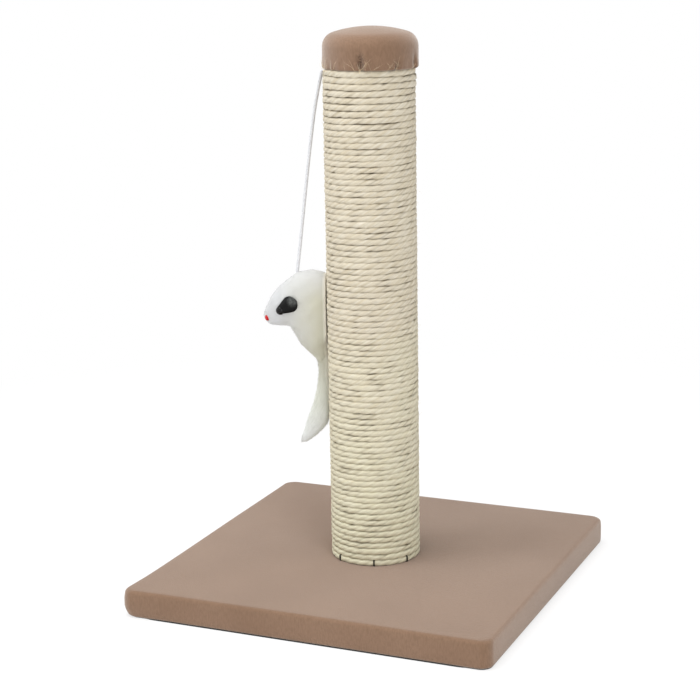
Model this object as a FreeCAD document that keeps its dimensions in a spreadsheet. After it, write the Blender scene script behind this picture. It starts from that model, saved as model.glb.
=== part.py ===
import FreeCAD, Part
import math
import os
import re
from FreeCAD import Placement, Rotation, Vector

# Cat scratching post: a fabric-covered board, a cardboard tube wound with sisal rope, a padded
# domed cap, and a furry mouse on a cord that comes out under the cap.
# Origin: centre of the underside. +Z is up, the board's long front edge faces -Y.

SIZES = {
    # base
    "base_side": (304, "outer side of the covered square base"),
    "base_corner": (10, "corner radius of the covered base"),
    "board_thick": (18, "particleboard"),
    "fabric_thick": (2, "velour with its pile"),
    "cover_edge": (2.6, "slope of the cover over the board's upper edge"),
    "hem_width": (32, "cover folded under the board"),
    "backing_thick": (0.5, "nonwoven sheet under the base"),
    "backing_inset": (1.5, "sheet's edge in from the base's edge"),
    # screw joint between base and post
    "bolt_dia": (8, "M8 bolt"),
    "bolt_length": (35, "under the head"),
    "bolt_head_flats": (13, "hexagon head, across flats"),
    "bolt_head_thick": (5.3, "hexagon head"),
    "washer_dia": (24, "large washer"),
    "washer_thick": (2, "large washer"),
    "recess_dia": (32, "bolt recess in the board"),
    "recess_depth": (9, "bolt recess in the board"),
    "bolt_play": (0.3, "radial play of the bolt in its holes"),
    "nut_flange_dia": (22, "tee nut"),
    "nut_flange_thick": (1.5, "tee nut"),
    "nut_barrel_dia": (10, "tee nut"),
    "nut_barrel_depth": (9, "tee nut's barrel in the plug"),
    # post
    "post_length": (398, "cardboard tube"),
    "tube_dia": (63, "cardboard tube, outside"),
    "tube_wall": (4, "cardboard tube"),
    "plug_thick": (18, "wooden plugs in the tube's ends"),
    "plug_play": (0.1, "radial play of a plug in the tube"),
    # rope
    "rope_pitch": (4.682, "from turn to turn"),
    "rope_thick": (4.45, "from the tube outward"),
    "rope_gap": (0.45, "between turns, at the tube"),
    "rope_crown": (2.3, "flat outer face of a turn"),
    "rope_seat": (0.05, "between rope and tube"),
    # cap
    "cap_dia": (75.2, "covered cap"),
    "cap_disc_thick": (15, "board disc in the cap"),
    "cap_dome": (15.4, "covered dome above the disc"),
    "cap_shoulder": (11.5, "radius where the dome meets the side"),
    "cap_edge": (1.8, "rounding of the cover's lower edge"),
    "cap_hem_opening": (56.4, "inner diameter of the folded hem"),
    "screw_dia": (4, "cap screw"),
    "screw_length": (30, "cap screw, with its head"),
    "screw_head_dia": (8, "cap screw, countersunk"),
    # cord
    "cord_dia": (2.6, "round cord"),
    "cord_play": (0.3, "round the cord and its knot"),
    "knot_dia": (7, "knot inside the tube"),
    "knot_tail": (4, "cord left beyond the knot"),
    # mouse
    "eye_dia": (5.2, "bead"),
    "nose_dia": (5, "bead"),
    "ear_round": (6.2, "radius of the ear's round end"),
    "ear_length": (13, "from the ear's point to the middle of its round end"),
    "ear_thick": (1.5, "soft leather"),
}

LEVELS = {
    # heights and radii that follow from the sizes
    "board_floor": "(backing_thick + fabric_thick)",
    "board_top": "(board_floor + board_thick)",
    "post_foot": "(board_top + fabric_thick)",
    "post_top": "(post_foot + post_length)",
    "tube_radius": "(tube_dia / 2)",
    "tube_bore": "(tube_radius - tube_wall)",
    "plug_radius": "(tube_bore - plug_play)",
    "plug_top": "(post_foot + plug_thick)",
    "upper_plug_foot": "(post_top - plug_thick)",
    "recess_roof": "(board_floor + recess_depth)",
    "bolt_seat": "(recess_roof - washer_thick)",
    "bolt_hole": "(bolt_dia / 2 + bolt_play)",
    "disc_foot": "(post_top + fabric_thick)",
    "disc_top": "(disc_foot + cap_disc_thick)",
    "cap_top": "(disc_top + cap_dome)",
    "disc_radius": "(cap_dia / 2 - fabric_thick)",
    "cord_exit_z": "(post_top - rope_pitch / 2)",
    "cord_radius": "(cord_dia / 2)",
}

CAP_FACETS = 28         # round the cap
SHOULDER_CHORDS = 4     # straight chords that stand for the cap's arcs
CROWN_CHORDS = 3
CROWN_REACH = 0.75      # the crown arc's share, the rest is flat
BEAD_FACETS = 12        # round a bead or a knot
BEAD_STEPS = 5          # how many chords stand for a bead's outline
BEAD_POLE = 20          # a small flat reaches this many degrees from the pole
FUR_FACETS = 18         # round the mouse
TAIL_FACETS = 12
CORD_FACETS = 8
RIGHT_ANGLE = 90
FLATNESS = 1e-6         # a corner this near a plane lies in it
WINDINGS = 4            # lengths of rope, butted end to end
ROPE_FACETS = 12        # straight facets in one turn
TOY_ANGLE = 187         # where the cord comes out, seen from above
ROPE_END_BACK = 9       # rope's upper end, this many degrees before the cord

# The cord and the mouse lie in the upright plane through the post at TOY_ANGLE:
# each pair is the distance out from the post's axis and the height.
CORD_ROUTE = [(38.2, 418.16), (40.4, 409.4), (43.6, 395.4), (46.4, 379.8),
              (50.3, 352.3), (56.2, 306.8), (60.1, 275.3), (62.9, 255.0)]

# Each row: the two ends of a cross-section in that plane, and its half width across it.
MOUSE_SECTIONS = [
    ((90.2, 222.0), (88.2, 214.4), 3.0),
    ((88.6, 229.4), (85.6, 212.0), 7.2),
    ((83.4, 237.8), (79.3, 211.4), 10.4),
    ((75.6, 246.0), (73.4, 211.6), 12.6),
    ((64.4, 253.8), (68.4, 210.8), 13.8),
    ((50.6, 258.2), (64.2, 203.8), 14.0),
    ((41.0, 255.4), (60.6, 197.8), 13.7),
    ((37.2, 247.4), (58.6, 195.4), 13.2),
    ((36.8, 223.0), (51.6, 189.0), 11.0),
    ((36.9, 199.6), (47.4, 184.6), 7.2),
    ((37.4, 185.0), (46.2, 177.8), 4.0),
]
TAIL_SECTIONS = [
    ((37.4, 184.6), (46.0, 178.0), 3.4),
    ((37.2, 170.4), (46.2, 170.8), 3.3),
    ((37.3, 156.6), (48.3, 158.4), 3.5),
    ((37.8, 143.6), (51.4, 146.6), 3.7),
    ((39.6, 131.0), (56.0, 134.6), 3.7),
    ((48.0, 121.2), (59.4, 124.6), 3.0),
    ((56.4, 114.6), (62.2, 117.2), 2.0),
    ((60.6, 113.0), (62.4, 113.8), 0.8),
]
EYE_PLACE = (74.4, 226.5)
NOSE_PLACE = (89.9, 217.2)
EAR_POINT = (76.2, 226.0)
EAR_RISE = 31           # the ear's long axis, degrees above level, toward the post
EAR_FLARE = 16          # the ear's round end stands off the head by this angle

doc = FreeCAD.newDocument("CatScratchingPost")
sheet = doc.addObject("Spreadsheet::Sheet", "Sizes")
nodes = []


def fill_sheet():
    for row, (alias, (value, note)) in enumerate(SIZES.items(), start=1):
        sheet.set(f"A{row}", alias)
        sheet.set(f"B{row}", str(value))
        sheet.set(f"C{row}", note)
        sheet.setAlias(f"B{row}", alias)
    doc.recompute()


def formula(text):
    """Spell out level names, then point size names at the sheet."""
    def spell(match):
        word = match.group()
        if word in LEVELS:
            return formula(LEVELS[word])
        return f"Sizes.{word}" if word in SIZES else word
    return re.sub(r"[a-z_]+", spell, text)


def number(text):
    return float(sheet.evalExpression(formula(text)))


def bind(thing, **sizes):
    for name, text in sizes.items():
        thing.setExpression(name, formula(text))


def lift(thing, height):
    thing.setExpression("Placement.Base.z", formula(height))


def keep(thing, label):
    thing.Label = label
    nodes.append(thing)
    return thing


# ---- sketches and bodies

def new_sketch(body, name, role="XY_Plane"):
    plane = next(part for part in body.Origin.OriginFeatures if part.Role == role)
    sketch = body.newObject("Sketcher::SketchObject", name)
    sketch.AttachmentSupport = [(plane, "")]
    sketch.MapMode = "FlatFace"
    return sketch


def constrain(sketch, rule, size=None):
    import Sketcher
    index = sketch.addConstraint(Sketcher.Constraint(*rule))
    if size:
        sketch.setExpression(f"Constraints[{index}]", formula(size))


def draw_square(sketch, side):
    half = number(side) / 2
    corners = [(-half, -half), (half, -half), (half, half), (-half, half)]
    for here, there in zip(corners, corners[1:] + corners[:1]):
        sketch.addGeometry(Part.LineSegment(Vector(*here, 0), Vector(*there, 0)))
    for line in range(4):
        constrain(sketch, ("Coincident", line, 2, (line + 1) % 4, 1))
    for line, rule in enumerate(("Horizontal", "Vertical", "Horizontal", "Vertical")):
        constrain(sketch, (rule, line))
    constrain(sketch, ("Symmetric", 0, 1, 2, 1, -1, 1))
    constrain(sketch, ("DistanceX", 0, 1, 0, 2, 2 * half), side)
    constrain(sketch, ("DistanceY", 1, 1, 1, 2, 2 * half), side)


def draw_circle(sketch, radius):
    index = sketch.addGeometry(Part.Circle(Vector(), Vector(0, 0, 1), number(radius)))
    constrain(sketch, ("Coincident", index, 3, -1, 1))
    constrain(sketch, ("Radius", index, number(radius)), radius)


def draw_outline(sketch, outline):
    """A closed outline of straight sides through corners whose sizes come from the sheet."""
    places = [Vector(number(x), number(y), 0) for x, y in outline]
    for here, there in zip(places, places[1:] + places[:1]):
        sketch.addGeometry(Part.LineSegment(here, there))
    for index, (x, y) in enumerate(outline):
        constrain(sketch, ("Coincident", index, 2, (index + 1) % len(outline), 1))
        for axis, size, place in (("X", x, places[index].x), ("Y", y, places[index].y)):
            if size == "0":
                constrain(sketch, ("PointOnObject", index, 1, -2 if axis == "X" else -1))
            else:
                constrain(sketch, (f"Distance{axis}", -1, 1, index, 1, place), size)


def arc_corners(centre, radius, first, last, chords):
    """Corners along an arc that is drawn as chords, from the first angle to the last, in degrees."""
    angles = [first + (last - first) * step / chords for step in range(chords + 1)]
    return [(f"{centre[0]} + {radius} * cos({angle:.4f} deg)",
             f"{centre[1]} + {radius} * sin({angle:.4f} deg)") for angle in angles]


def flat_face(*corners):
    return Part.Face(Part.makePolygon([*corners, corners[0]]))


def patch_faces(*corners):
    """One face where the four corners lie in a plane, and otherwise two triangles."""
    first, second, third, fourth = corners
    normal = (second - first).cross(third - first).normalize()
    if abs((fourth - first).dot(normal)) < FLATNESS:
        return [flat_face(*corners)]
    return [flat_face(first, second, third), flat_face(first, third, fourth)]


def faceted_solid(rings):
    """A solid of flat facets through rings of corners, closed by its first and last ring."""
    faces = [flat_face(*rings[0]), flat_face(*rings[-1])]
    for near, far in zip(rings, rings[1:]):
        for here in range(len(near)):
            there = (here + 1) % len(near)
            faces += patch_faces(near[here], near[there], far[there], far[here])
    solid = Part.Solid(Part.makeShell(faces))
    if solid.Volume < 0:
        solid.reverse()
    return solid


def ring_across(centre, along, radius, sides):
    """Corners of a regular polygon round a line; its flats touch a circle of this radius."""
    frame = Rotation(Vector(0, 0, 1), along)
    reach = radius / math.cos(math.pi / sides)
    return [centre + frame.multVec(Vector(reach * math.cos(turn), reach * math.sin(turn), 0))
            for turn in (2 * math.pi * (step + 0.5) / sides for step in range(sides))]


def faceted_round(outline, sides, foot=Vector(), along=Vector(0, 0, 1)):
    """A round form drawn with flat facets, from an outline of radius and distance along its axis."""
    return faceted_solid([ring_across(foot + along * number(height), along, number(radius), sides)
                          for radius, height in outline])


def pad(body, sketch, length):
    feature = body.newObject("PartDesign::Pad", "Pad")
    feature.Profile = sketch
    bind(feature, Length=length)
    sketch.Visibility = False
    doc.recompute()
    return feature


def dress_edges(body, base, kind, size, chosen):
    """Fillet (Radius) or chamfer (Size) the edges of the body's last feature that the test picks."""
    names = [f"Edge{i}" for i, edge in enumerate(base.Shape.Edges, start=1) if chosen(edge)]
    feature = body.newObject(f"PartDesign::{kind}", kind)
    feature.Base = (base, names)
    bind(feature, **{"Radius" if kind == "Fillet" else "Size": size})
    doc.recompute()
    return feature


def upright(edge):
    return abs(edge.tangentAt(edge.FirstParameter).z) > 0.99


def lies_at(edge, height):
    return all(abs(vertex.Z - height) < 0.001 for vertex in edge.Vertexes)


def slab(name, side, thick, corner, foot, top_edge=None):
    """A square plate with rounded corners, and a chamfered upper edge where asked."""
    body = doc.addObject("PartDesign::Body", name)
    sketch = new_sketch(body, name + "_square")
    draw_square(sketch, side)
    feature = pad(body, sketch, thick)
    feature = dress_edges(body, feature, "Fillet", corner, upright)
    if top_edge:
        dress_edges(body, feature, "Chamfer", top_edge, lambda edge: lies_at(edge, number(thick)))
    lift(body, foot)
    return body


def round_pad(name, radius, thick, foot, bore=None):
    body = doc.addObject("PartDesign::Body", name)
    sketch = new_sketch(body, name + "_circle")
    draw_circle(sketch, radius)
    if bore:
        draw_circle(sketch, bore)
    pad(body, sketch, thick)
    lift(body, foot)
    return body


def revolved(name, outline, foot):
    body = doc.addObject("PartDesign::Body", name)
    sketch = new_sketch(body, name + "_outline", "XZ_Plane")
    draw_outline(sketch, outline)
    feature = body.newObject("PartDesign::Revolution", "Revolution")
    feature.Profile = sketch
    feature.ReferenceAxis = (sketch, ["V_Axis"])
    feature.Angle = 360
    sketch.Visibility = False
    lift(body, foot)
    doc.recompute()
    return body


def cylinder(name, radius, height, foot):
    tool = doc.addObject("Part::Cylinder", name)
    bind(tool, Radius=radius, Height=height)
    lift(tool, foot)
    return tool


def cut(name, base, *tools):
    """Take the tools away from the base one after another."""
    for index, tool in enumerate(tools):
        result = doc.addObject("Part::Cut", name if tool is tools[-1] else f"{name}_{index}")
        result.Base = base
        result.Tool = tool
        base = result
    return base


def own_shape(name, shape):
    feature = doc.addObject("Part::Feature", name)
    feature.Shape = shape
    return feature


# ---- base

def make_base():
    inner_side = "base_side - 2 * fabric_thick"
    inner_corner = "base_corner - fabric_thick"
    board = slab("board_blank", inner_side, "board_thick", inner_corner, "board_floor")
    recess = cylinder("bolt_recess", "recess_dia / 2", "recess_depth", "board_floor")
    bore = cylinder("board_bore", "bolt_hole", "board_thick", "board_floor")
    keep(cut("board", board, recess, bore), "base_board")

    skin = slab("cover_outside", "base_side", "board_thick + 2 * fabric_thick", "base_corner",
                "backing_thick", "cover_edge")
    filling = slab("cover_filling", inner_side, "board_thick", inner_corner, "board_floor")
    opening = slab("hem_opening", "base_side - 2 * hem_width", "2 * fabric_thick", inner_corner, "0")
    cover_bore = cylinder("cover_bore", "bolt_hole", "2 * fabric_thick", "board_top - fabric_thick")
    keep(cut("cover", skin, filling, opening, cover_bore), "base_cover")

    sheet_blank = slab("backing_blank", "base_side - 2 * backing_inset", "backing_thick",
                       "base_corner - backing_inset", "0")
    access = cylinder("backing_access", "recess_dia / 2", "backing_thick", "0")
    keep(cut("backing", sheet_blank, access), "backing_sheet")


def make_screw_joint():
    head = doc.addObject("Part::Prism", "bolt_head")
    head.Polygon = 6
    bind(head, Circumradius="bolt_head_flats / sqrt(3)", Height="bolt_head_thick")
    lift(head, "bolt_seat - bolt_head_thick")
    shank = cylinder("bolt_shank", "bolt_dia / 2", "bolt_length", "bolt_seat")
    bolt = doc.addObject("Part::Fuse", "bolt")
    bolt.Base = head
    bolt.Tool = shank
    keep(bolt, "base_bolt")
    keep(round_pad("washer", "washer_dia / 2", "washer_thick", "bolt_seat", "bolt_hole"), "bolt_washer")

    nut_bore = "bolt_dia / 2 + plug_play"
    tee = [(nut_bore, "0"), ("nut_barrel_dia / 2", "0"), ("nut_barrel_dia / 2", "nut_barrel_depth"),
           ("nut_flange_dia / 2", "nut_barrel_depth"),
           ("nut_flange_dia / 2", "nut_barrel_depth + nut_flange_thick"),
           (nut_bore, "nut_barrel_depth + nut_flange_thick")]
    keep(revolved("tee", tee, "plug_top - nut_barrel_depth"), "tee_nut")

    plug = round_pad("lower_plug_blank", "plug_radius", "plug_thick", "post_foot", "bolt_hole")
    seat = cylinder("nut_seat", "nut_barrel_dia / 2 + plug_play", "nut_barrel_depth",
                    "plug_top - nut_barrel_depth")
    keep(cut("lower_plug", plug, seat), "bottom_plug")


# ---- post

def out_from_post(thing, angle, height, distance=0):
    """Lay a thing's own Z along the radius at this angle, and set it at this distance out."""
    turn = Rotation(Vector(0, 0, 1), angle)
    along = Rotation(Vector(0, 1, 0), RIGHT_ANGLE)
    place = turn.multVec(Vector(distance, 0, 0)) + Vector(0, 0, height)
    thing.Placement = Placement(place, turn.multiply(along))
    return thing


def make_tube():
    notch_radius = "cord_radius + cord_play"
    notch = doc.addObject("Part::Cylinder", "cord_notch")
    bind(notch, Radius=notch_radius, Height="tube_radius")
    out_from_post(notch, TOY_ANGLE, number("cord_exit_z"))
    slot = doc.addObject("Part::Box", "cord_slot")
    bind(slot, Length="post_top - cord_exit_z", Width=f"2 * ({notch_radius})", Height="tube_radius")
    out_from_post(slot, TOY_ANGLE, number("post_top"))
    slot.Placement = slot.Placement.multiply(
        Placement(Vector(0, -number(notch_radius), 0), Rotation()))
    tube = round_pad("tube_blank", "tube_radius", "post_length", "post_foot", "tube_bore")
    keep(cut("tube", tube, notch, slot), "post_tube")

    pocket_half = "knot_dia / 2 + cord_play"
    pocket = doc.addObject("Part::Box", "knot_pocket")
    bind(pocket, Length=f"post_top - cord_exit_z + {pocket_half}", Width=f"2 * ({pocket_half})",
         Height="knot_dia + knot_tail + 2 * cord_play")
    inner_end = number("tube_bore - knot_dia - knot_tail - 2 * cord_play")
    out_from_post(pocket, TOY_ANGLE, number("post_top"), inner_end)
    pocket.Placement = pocket.Placement.multiply(
        Placement(Vector(0, -number(pocket_half), 0), Rotation()))
    pilot = cylinder("screw_pilot", "screw_dia / 2", "screw_length", "disc_top - screw_length")
    plug = round_pad("upper_plug_blank", "plug_radius", "plug_thick", "upper_plug_foot")
    keep(cut("upper_plug", plug, pocket, pilot), "top_plug")


# ---- rope

def rope_ring(step):
    """The four corners of the rope's section, this many facets below its upper end."""
    angle = math.radians(TOY_ANGLE - ROPE_END_BACK - 360 / ROPE_FACETS * step)
    height = number("post_top") - number("rope_pitch") * (0.5 + step / ROPE_FACETS)
    inner = number("tube_radius + rope_seat") / math.cos(math.pi / ROPE_FACETS)
    outer = inner + number("rope_thick")
    foot = number("rope_pitch - rope_gap") / 2
    crown = number("rope_crown") / 2
    section = [(inner, -foot), (outer, -crown), (outer, crown), (inner, foot)]
    return [Vector(radius * math.cos(angle), radius * math.sin(angle), height + rise)
            for radius, rise in section]


def make_rope():
    turns = number("post_length / rope_pitch") - 1
    steps = int(turns * ROPE_FACETS / WINDINGS + 0.001)
    rings = [rope_ring(step) for step in range(WINDINGS * steps + 1)]
    for index in range(WINDINGS):
        start = (WINDINGS - 1 - index) * steps
        rope = own_shape(f"rope_{index + 1}", faceted_solid(rings[start:start + steps + 1]))
        keep(rope, f"sisal_rope_{index + 1}")
    gap = min((above - below).Length
              for ring, lower in zip(rings, rings[ROPE_FACETS:])
              for below in lower for above in ring)
    print(f"rope: {WINDINGS} lengths of {steps / ROPE_FACETS:.1f} turns, least gap {gap:.2f} mm")


# ---- cap

def dome_outline(inset):
    """Shoulder arc and crown arc of the domed cap, moved in by the inset, as radius and height."""
    reach = "(cap_dia / 2 - cap_shoulder)"
    crown = f"(({reach}^2 + cap_dome^2 - cap_shoulder^2) / (2 * (cap_dome - cap_shoulder)))"
    join = RIGHT_ANGLE - math.degrees(math.asin(number(f"{reach} / ({crown} - cap_shoulder)")))
    shoulder = arc_corners((reach, "disc_top"), f"(cap_shoulder - {inset})", 0, join, SHOULDER_CHORDS)
    crown_centre = ("0", f"(cap_top - {crown})")
    flat = join + (RIGHT_ANGLE - join) * CROWN_REACH
    return shoulder + arc_corners(crown_centre, f"({crown} - {inset})", join, flat, CROWN_CHORDS)[1:]


def make_cap():
    screw_foot = "(disc_top - screw_length)"
    screw_outline = [("0", "0"), ("screw_dia / 2", "screw_dia"),
                     ("screw_dia / 2", "screw_length - (screw_head_dia - screw_dia) / 2"),
                     ("screw_head_dia / 2", "screw_length"), ("0", "screw_length")]
    screw = keep(revolved("screw", screw_outline, screw_foot), "cap_screw")
    disc = round_pad("disc_blank", "disc_radius", "cap_disc_thick", "disc_foot")
    keep(cut("disc", disc, screw), "cap_disc")

    inside = dome_outline("fabric_thick")
    keep(own_shape("pad", faceted_round(inside, CAP_FACETS)), "cap_pad")
    below_pad = ("disc_radius", "disc_foot")
    filling = own_shape("cap_filling", faceted_round([below_pad, *inside], CAP_FACETS))
    outside = [("cap_dia / 2 - cap_edge", "post_top"), ("cap_dia / 2", "post_top + cap_edge")]
    skin = own_shape("cap_outside", faceted_round(outside + dome_outline("0"), CAP_FACETS))
    opening = cylinder("cap_opening", "cap_hem_opening / 2", "2 * fabric_thick", "post_top")
    keep(cut("cap_skin", skin, filling, opening), "cap_cover")


# ---- cord

def toy_frame():
    """The upright plane of the toy: outward, up, and sideways unit directions."""
    outward = Vector(math.cos(math.radians(TOY_ANGLE)), math.sin(math.radians(TOY_ANGLE)), 0)
    up = Vector(0, 0, 1)
    return outward, up, up.cross(outward)


def toy_point(place, side=0.0):
    """A place in the toy's plane, carried up or down with the cord's way out."""
    outward, up, sideways = toy_frame()
    height = place[1] + number("cord_exit_z") - CORD_ROUTE[0][1]
    return outward * place[0] + up * height + sideways * side


def cord_path(points):
    """Straight runs joined by tangent arcs, each as large as its two runs allow."""
    edges = []
    radii = []
    start = points[0]
    for before, corner, after in zip(points, points[1:], points[2:]):
        arriving = (corner - before).normalize()
        leaving = (after - corner).normalize()
        turn = arriving.getAngle(leaving)
        reach = 0.45 * min((corner - before).Length, (after - corner).Length)
        radius = reach / math.tan(turn / 2)
        enter = corner - arriving * reach
        leave = corner + leaving * reach
        inward = (leaving - arriving).normalize()
        centre = corner + inward * math.hypot(radius, reach)
        middle = centre - inward * radius
        edges.append(Part.LineSegment(start, enter).toShape())
        edges.append(Part.Arc(enter, middle, leave).toShape())
        radii.append(radius)
        start = leave
    edges.append(Part.LineSegment(start, points[-1]).toShape())
    return Part.Wire(edges), radii


def make_cord():
    radius = number("cord_radius")
    points = [toy_point(place) for place in CORD_ROUTE]
    path, radii = cord_path(points)
    ring = ring_across(points[0], points[1] - points[0], radius, CORD_FACETS)
    profile = Part.Wire(Part.makePolygon([*ring, ring[0]]))
    tube = path.makePipeShell([profile], True, False)
    expected = Part.Face(profile).Area * path.Length
    print("cord: radii", [round(value) for value in radii],
          f"length {path.Length:.1f} mm, volume {tube.Volume / expected:.4f} of section times length")
    keep(own_shape("cord", tube), "toy_cord")

    # Knot and stub lie on one line out through the notch, and turn in it when the toy swings.
    half_knot = "(knot_dia / 2)"
    out_end = "(tube_bore - cord_play)"
    stub_end = CORD_ROUTE[0][0] - number("cord_radius + cord_play")
    buried = math.degrees(math.asin(number(f"cord_radius / {half_knot}")))
    reach = RIGHT_ANGLE - buried
    ball = arc_corners(("0", f"({out_end} - {half_knot})"), half_knot, -reach, reach, BEAD_STEPS)
    outline = [("cord_radius", f"{out_end} - knot_dia - knot_tail"), *ball, ("cord_radius", str(stub_end))]
    foot = Vector(0, 0, number("cord_exit_z"))
    keep(own_shape("knot", faceted_round(outline, BEAD_FACETS, foot, toy_frame()[0])), "cord_knot")


# ---- mouse

def oval(first, last, half_width, sides):
    """Corners of an oval across the toy's plane, its long axis between two places in that plane."""
    sideways = toy_frame()[2]
    centre = (toy_point(first) + toy_point(last)) / 2
    half_long = (toy_point(last) - toy_point(first)) / 2
    return [centre + half_long * math.cos(turn) + sideways * half_width * math.sin(turn)
            for turn in (2 * math.pi * (step + 0.5) / sides for step in range(sides))]


def furry_form(sections, sides):
    return faceted_solid([oval(*section, sides) for section in sections])


def bead(diameter, place, along):
    """A round bead with flat facets, centred on its place."""
    half = f"({diameter} / 2)"
    reach = RIGHT_ANGLE - BEAD_POLE
    outline = arc_corners(("0", "0"), half, -reach, reach, BEAD_STEPS)
    return faceted_round(outline, BEAD_FACETS, place, along)


def side_of_head(body, place):
    """How far sideways the head's surface lies at this place."""
    sideways = toy_frame()[2]
    ray = Part.makeLine(toy_point(place), toy_point(place) + sideways * 40)
    return max((vertex.Point - toy_point(place)).dot(sideways) for vertex in body.common(ray).Vertexes)


def make_ear(body, side):
    """A teardrop of soft leather, its point at the head and its round end flared off it."""
    outward, up, sideways = toy_frame()
    rise = math.radians(EAR_RISE)
    flare = math.radians(EAR_FLARE)
    level = outward * -math.cos(rise) + up * math.sin(rise)
    along = level * math.cos(flare) + sideways * side * math.sin(flare)
    across = level.cross(sideways * side).normalize()
    normal = along.cross(across).normalize()
    point = toy_point(EAR_POINT, side * side_of_head(body, EAR_POINT))
    length = number("ear_length")
    radius = number("ear_round")
    tip_angle = math.asin(radius / length)
    tangent = length * math.cos(tip_angle)
    upper = point + along * tangent * math.cos(tip_angle) + across * tangent * math.sin(tip_angle)
    lower = point + along * tangent * math.cos(tip_angle) - across * tangent * math.sin(tip_angle)
    far = point + along * (length + radius)
    outline = Part.Wire([Part.makeLine(point, lower), Part.Arc(lower, far, upper).toShape(),
                         Part.makeLine(upper, point)])
    leaf = Part.Face(outline).extrude(normal * number("ear_thick"))
    leaf.translate(normal * -number("ear_thick") / 2)
    return leaf.cut(body)


def make_mouse():
    body = furry_form(MOUSE_SECTIONS, FUR_FACETS)
    keep(own_shape("mouse", body), "mouse_body")
    keep(own_shape("tail", furry_form(TAIL_SECTIONS, TAIL_FACETS).cut(body)), "mouse_tail")
    outward, _, sideways = toy_frame()
    nose = bead("nose_dia", toy_point(NOSE_PLACE), outward)
    keep(own_shape("nose", nose.cut(body)), "mouse_nose")

    eyes = []
    ears = []
    for side in (-1, 1):
        place = toy_point(EYE_PLACE, side * side_of_head(body, EYE_PLACE))
        eyes.append(bead("eye_dia", place, sideways).cut(body))
        ear = make_ear(body, side).cut(eyes[-1])
        ears.append(max(ear.Solids, key=lambda solid: solid.Volume))
    keep(own_shape("eyes", Part.makeCompound(eyes)), "mouse_eyes")
    keep(own_shape("ears", Part.makeCompound(ears)), "mouse_ears")


def write_parts():
    doc.recompute()
    for thing in doc.Objects:
        if {"Invalid", "Error"} & set(thing.State):
            raise RuntimeError(f"{thing.Name} failed: {thing.State}")
    for node in nodes:
        if node.Shape.isNull() or not node.Shape.isValid():
            raise RuntimeError(f"{node.Label} has no valid shape")
    os.makedirs("parts", exist_ok=True)
    for node in nodes:
        node.Shape.exportStep(f"parts/{node.Label}.step")
        solids = len(node.Shape.Solids)
        print(f"{node.Label}: {solids} solid(s), {node.Shape.Volume / 1000:.2f} cm3")


fill_sheet()
make_base()
make_screw_joint()
make_tube()
make_rope()
make_cap()
make_cord()
make_mouse()
write_parts()
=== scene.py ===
import bpy
import math
import numpy as np
from mathutils import Matrix, Vector
from mathutils.bvhtree import BVHTree


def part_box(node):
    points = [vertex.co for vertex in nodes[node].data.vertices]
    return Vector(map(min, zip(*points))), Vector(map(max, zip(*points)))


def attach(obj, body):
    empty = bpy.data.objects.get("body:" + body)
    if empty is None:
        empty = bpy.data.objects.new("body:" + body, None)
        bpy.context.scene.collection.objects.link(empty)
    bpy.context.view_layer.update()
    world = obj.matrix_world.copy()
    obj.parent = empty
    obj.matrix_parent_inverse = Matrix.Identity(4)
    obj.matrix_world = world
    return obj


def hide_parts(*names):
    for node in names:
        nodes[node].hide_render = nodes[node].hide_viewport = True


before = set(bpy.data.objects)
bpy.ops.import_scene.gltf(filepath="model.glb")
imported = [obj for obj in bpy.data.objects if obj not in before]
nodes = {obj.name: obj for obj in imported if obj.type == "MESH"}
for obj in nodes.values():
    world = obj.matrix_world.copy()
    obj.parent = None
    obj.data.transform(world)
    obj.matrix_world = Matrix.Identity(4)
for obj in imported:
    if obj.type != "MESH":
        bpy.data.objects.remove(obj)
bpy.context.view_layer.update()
mm = 0.001  # sizes below are in millimetres, Blender works in metres
chance = np.random.default_rng(11)

print("stage: camera and light")
cameraLook = {"place": (548.76, -1307.92, 533.84), "right": (0.91849, 0.39507, -0.01735),
              "up": (-0.07646, 0.22045, 0.97240), "back": (0.38799, -0.89181, 0.23268), "lens": 92.77}
lightLook = {"ambient": 0.62, "floorGlow": 0.7, "floorFade": (0.34, 0.8)}
lamps = [  # name, place in metres, size in metres, power in watts
    ("topSoftbox", (-0.2, -0.35, 1.9), 1.5, 29),
    ("leftSoftbox", (-1.7, -1.2, 0.9), 1.2, 10),
    ("rightSoftbox", (1.5, -1.5, 0.8), 1.2, 14),
]
lampsAimAt = Vector((0, 0, 0.2))


def addObject(name, data):
    made = bpy.data.objects.new(name, data)
    bpy.context.scene.collection.objects.link(made)
    return made


cameraData = bpy.data.cameras.new("photoCamera")
cameraData.lens = cameraLook["lens"]
cameraData.clip_start, cameraData.clip_end = 0.05, 50
camera = addObject("photoCamera", cameraData)
turn = Matrix([cameraLook["right"], cameraLook["up"], cameraLook["back"]]).transposed()
camera.matrix_world = Matrix.Translation(Vector(cameraLook["place"]) * mm) @ turn.to_4x4()
bpy.context.scene.camera = camera

for name, place, size, power in lamps:
    lamp = bpy.data.lights.new(name, "AREA")
    lamp.shape, lamp.size, lamp.energy = "DISK", size, power
    holder = addObject(name, lamp)
    holder.location = place
    holder.rotation_mode = "QUATERNION"
    holder.rotation_quaternion = (lampsAimAt - Vector(place)).to_track_quat("-Z", "Y")

bpy.context.scene.view_settings.view_transform = "Standard"


def paint(red, green, blue):  # an sRGB colour, 0 to 255, as the shader wants it
    parts = [part / 255 for part in (red, green, blue)]
    linear = [part / 12.92 if part < 0.04045 else ((part + 0.055) / 1.055) ** 2.4 for part in parts]
    return (*linear, 1.0)


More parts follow.
